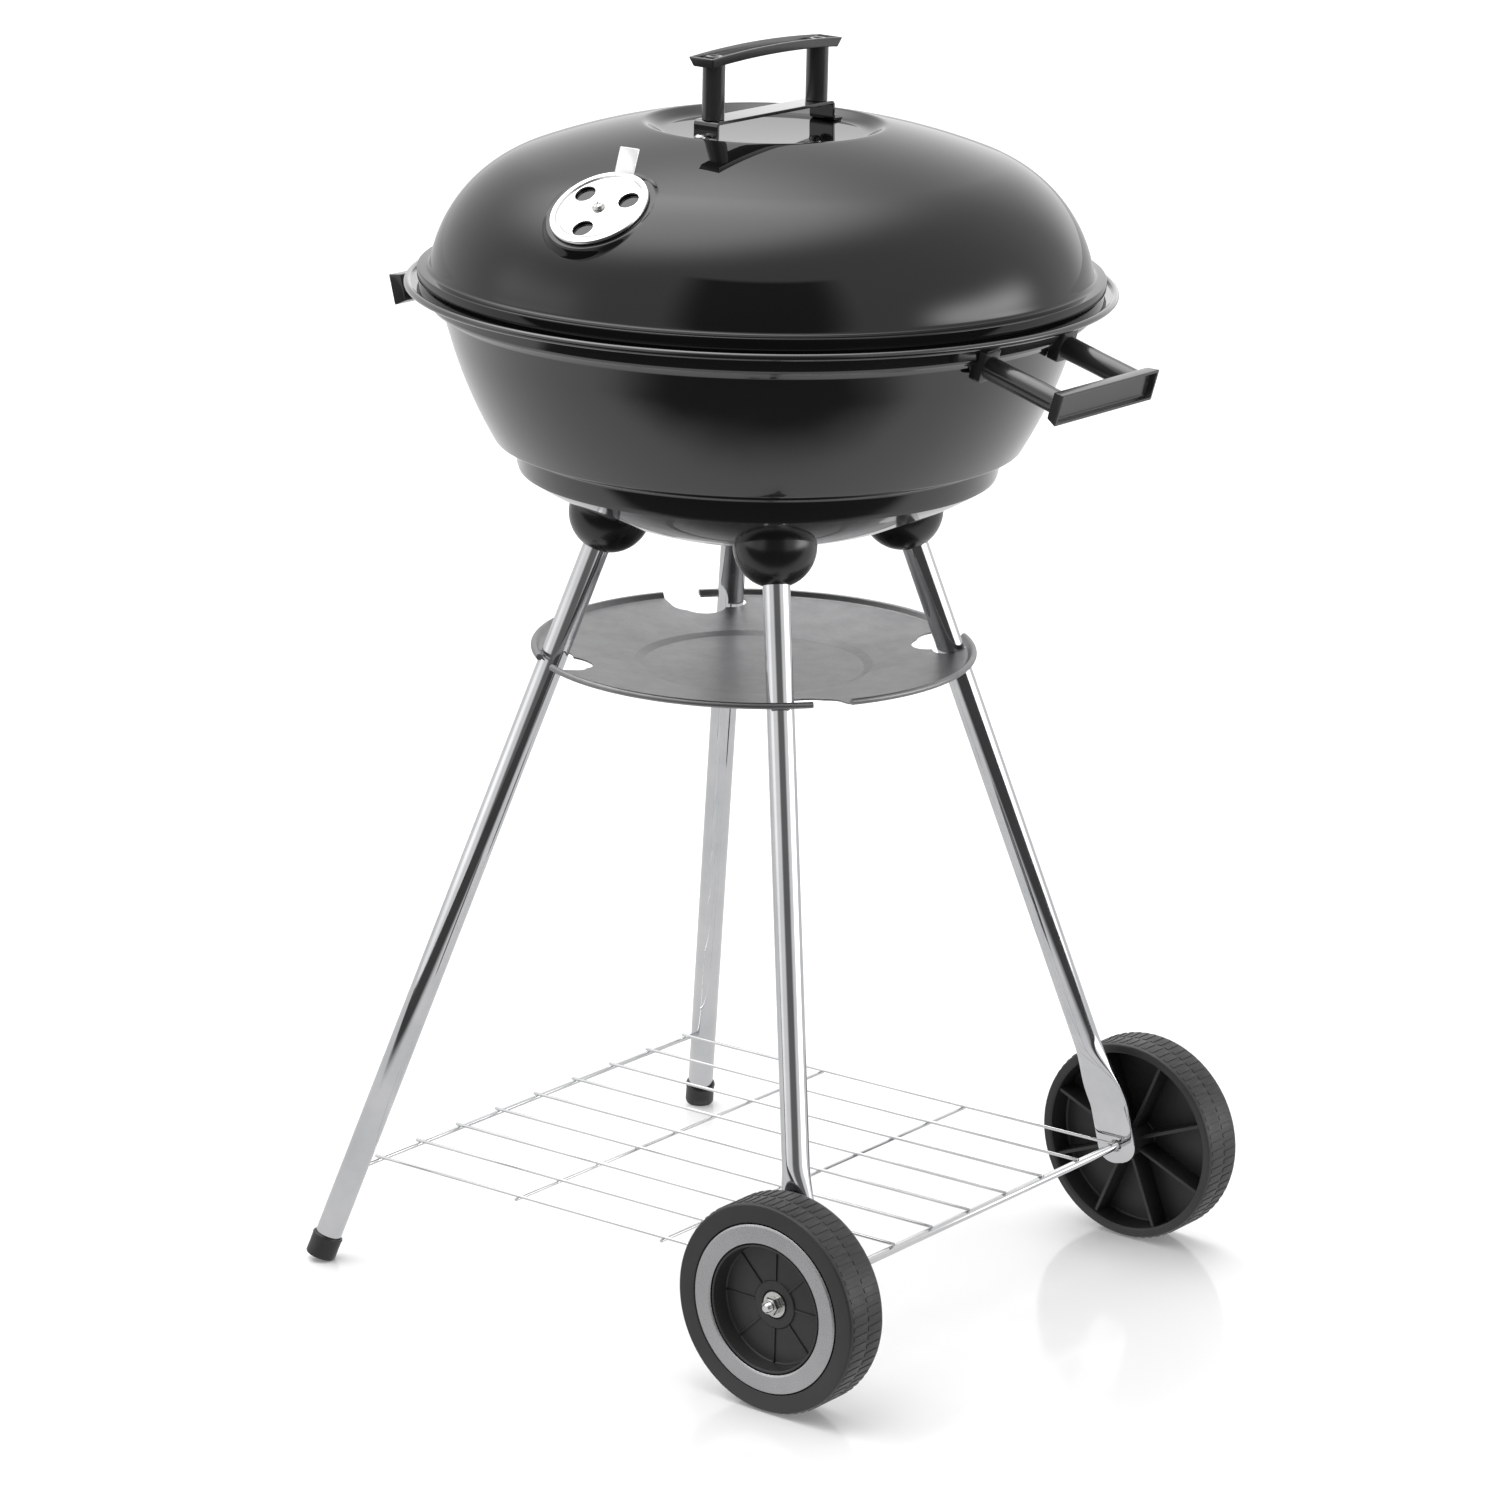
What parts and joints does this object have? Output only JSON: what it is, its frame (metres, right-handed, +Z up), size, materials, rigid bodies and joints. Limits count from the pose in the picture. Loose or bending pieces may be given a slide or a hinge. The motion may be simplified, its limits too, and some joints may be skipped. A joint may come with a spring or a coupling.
{
  "type": "kettle charcoal grill",
  "caption": "Round kettle charcoal grill with a domed lid, lift-out grates, turning vent dampers, a twist-off ash tray and a wire shelf on splayed tube legs with wheels.",
  "frame": {"origin": "on the floor, under the axis of the bowl", "axes": "+X points from the foot legs to the wheels, +Y runs along the axle, +Z is up"},
  "size_m": [0.5244, 0.44, 0.7821],
  "materials": {
    "lid_enamel": "high-gloss black porcelain enamel",
    "bowl_enamel": "semi-gloss black porcelain enamel",
    "bracket_paint": "gloss black paint",
    "handle_plastic": "satin black moulded plastic",
    "cup_plastic": "gloss black moulded plastic",
    "leg_chrome": "bright chrome plate",
    "wire_chrome": "bright plated wire",
    "grate_plating": "plated wire",
    "damper_chrome": "bright plated pressing",
    "zinc_fasteners": "zinc plate",
    "foot_plastic": "black moulded plastic",
    "tray_galvanised": "satin galvanised sheet",
    "wheel_plastic": "matte dark grey moulded plastic",
    "trim_silver": "satin silver coating"
  },
  "bodies": {
    "frame": {"bowl_shell": "bowl_enamel", "side_handle_wheel_end": "handle_plastic", "side_handle_foot_end": "handle_plastic", "side_handle_screws": "zinc_fasteners", "bottom_vent_screw": "zinc_fasteners", "bottom_vent_nut": "zinc_fasteners", "leg_cup_wheel_right": "cup_plastic", "leg_cup_wheel_left": "cup_plastic", "leg_cup_foot_right": "cup_plastic", "leg_cup_foot_left": "cup_plastic", "leg_wheel_right": "leg_chrome", "leg_wheel_left": "leg_chrome", "leg_foot_right": "leg_chrome", "leg_foot_left": "leg_chrome", "leg_plugs": "foot_plastic", "leg_bolts": "zinc_fasteners", "foot_cap_right": "foot_plastic", "foot_cap_left": "foot_plastic", "wire_shelf": "wire_chrome", "axle": "wire_chrome", "axle_inner_washers": "zinc_fasteners", "axle_outer_washers": "zinc_fasteners", "hub_nuts": "zinc_fasteners"},
    "lid": {"lid_shell": "lid_enamel", "lid_handle": "handle_plastic", "lid_handle_bracket": "bracket_paint", "lid_handle_screws": "zinc_fasteners", "lid_bracket_screws": "zinc_fasteners", "lid_bracket_nuts": "zinc_fasteners", "lid_vent_screw": "zinc_fasteners", "lid_vent_nut": "zinc_fasteners"},
    "lid_damper": {"lid_vent_damper": "damper_chrome"},
    "bottom_damper": {"bottom_vent_damper": "damper_chrome"},
    "cooking_grate": {"cooking_grate_ring": "grate_plating", "cooking_grate_bars": "grate_plating"},
    "charcoal_grate": {"charcoal_grate_ring": "grate_plating", "charcoal_grate_bars": "grate_plating"},
    "ash_tray": {"ash_tray": "tray_galvanised"},
    "wheel_right": {"wheel_right": "wheel_plastic", "trim_ring_right": "trim_silver"},
    "wheel_left": {"wheel_left": "wheel_plastic", "trim_ring_left": "trim_silver"}
  },
  "joints": [
    {"name": "charcoal_grate_lift", "type": "slide", "parent": "frame", "child": "charcoal_grate", "axis": [0, 0, 1], "range_m": [0, 0.13]},
    {"name": "cooking_grate_lift", "type": "slide", "parent": "charcoal_grate", "child": "cooking_grate", "axis": [0, 0, 1], "range_m": [0, 0.12]},
    {"name": "lid_lift", "type": "slide", "parent": "cooking_grate", "child": "lid", "axis": [0, 0, 1], "range_m": [0, 0.2]},
    {"name": "lid_damper_turn", "type": "hinge", "parent": "lid", "child": "lid_damper", "pos_m": [0.00574, -0.16447, 0.70155], "axis": [0.0194, -0.556, 0.831], "range_deg": [0, 60]},
    {"name": "bottom_damper_turn", "type": "hinge", "parent": "frame", "child": "bottom_damper", "pos_m": [0, 0, 0.4752], "axis": [0, 0, 1], "range_deg": [0, 60]},
    {"name": "ash_tray_twist", "type": "hinge", "parent": "frame", "child": "ash_tray", "pos_m": [0, 0, 0.4017], "axis": [0, 0, 1], "range_deg": [-13, 0]},
    {"name": "wheel_right_spin", "type": "hinge", "parent": "frame", "child": "wheel_right", "pos_m": [0.17841, 0, 0.066], "axis": [0, 1, 0], "continuous": true},
    {"name": "wheel_left_spin", "type": "hinge", "parent": "frame", "child": "wheel_left", "pos_m": [0.17841, 0, 0.066], "axis": [0, 1, 0], "continuous": true}
  ]
}
